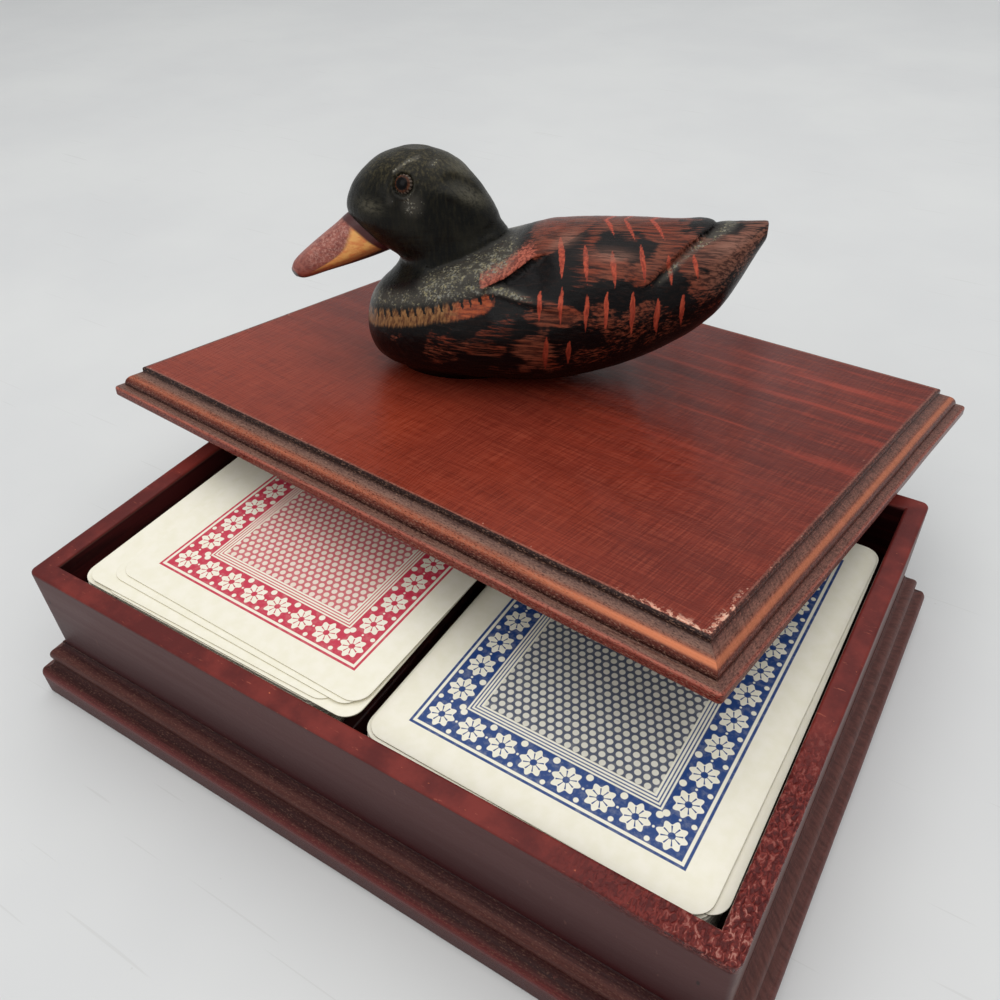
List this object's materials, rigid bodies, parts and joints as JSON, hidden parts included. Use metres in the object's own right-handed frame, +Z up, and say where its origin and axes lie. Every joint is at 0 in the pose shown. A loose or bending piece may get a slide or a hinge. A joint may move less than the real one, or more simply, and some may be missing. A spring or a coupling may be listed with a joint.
{
  "type": "playing card box with carved duck lid",
  "caption": "Wooden box on a moulded plinth with a divided tray for playing cards and a moulded lift-off lid that carries a carved, painted duck.",
  "frame": {"origin": "middle of the plinth's flat underside", "axes": "+X along the box's front from left to right, +Y from the front to the back, +Z up; the bill points to -X"},
  "size_m": [0.179, 0.1693, 0.0949],
  "materials": {
    "stained_wood": "satin varnish",
    "plinth_wood": "satin varnish",
    "lid_wood": "satin varnish with worn edges",
    "duck_paint": "painted and carved, satin",
    "duck_head_paint": "painted and carved, satin",
    "bead": "gloss",
    "pale_wood": "plain",
    "nail_steel": "dull",
    "screw_steel": "dull",
    "card_red": "coated paper",
    "card_blue": "coated paper",
    "card_white": "coated paper edges"
  },
  "bodies": {
    "box": {"base_plinth": "plinth_wood", "front_wall": "stained_wood", "back_wall": "stained_wood", "left_wall": "stained_wood", "right_wall": "stained_wood", "divider": "stained_wood", "wall_brads": "nail_steel", "plinth_screws": "screw_steel"},
    "lid": {"lid_board": "lid_wood", "lid_front_strip": "stained_wood", "lid_back_strip": "stained_wood", "lid_strip_brads": "nail_steel", "duck_body": "duck_paint", "duck_head": "duck_head_paint", "duck_eyes": "bead", "neck_dowel": "pale_wood", "duck_screws": "screw_steel"},
    "red_deck": {"red_deck_stack": "card_white", "red_card_1": "card_red", "red_card_2": "card_white", "red_card_3": "card_red", "red_card_4": "card_red"},
    "blue_deck": {"blue_deck_stack": "card_white", "blue_card_1": "card_white", "blue_card_2": "card_blue", "blue_card_3": "card_blue"}
  },
  "joints": [
    {"name": "lid_lift", "type": "slide", "parent": "box", "child": "lid", "axis": [0, 0, 1], "range_m": [0, 0.1]},
    {"name": "red_deck_lift", "type": "slide", "parent": "box", "child": "red_deck", "axis": [0, 0, 1], "range_m": [0, 0.05]},
    {"name": "blue_deck_lift", "type": "slide", "parent": "box", "child": "blue_deck", "axis": [0, 0, 1], "range_m": [0, 0.05]}
  ],
  "couplings": [
    {"joint": "red_deck_lift", "follows": "lid_lift", "ratio": 0.5},
    {"joint": "blue_deck_lift", "follows": "lid_lift", "ratio": 0.5}
  ]
}
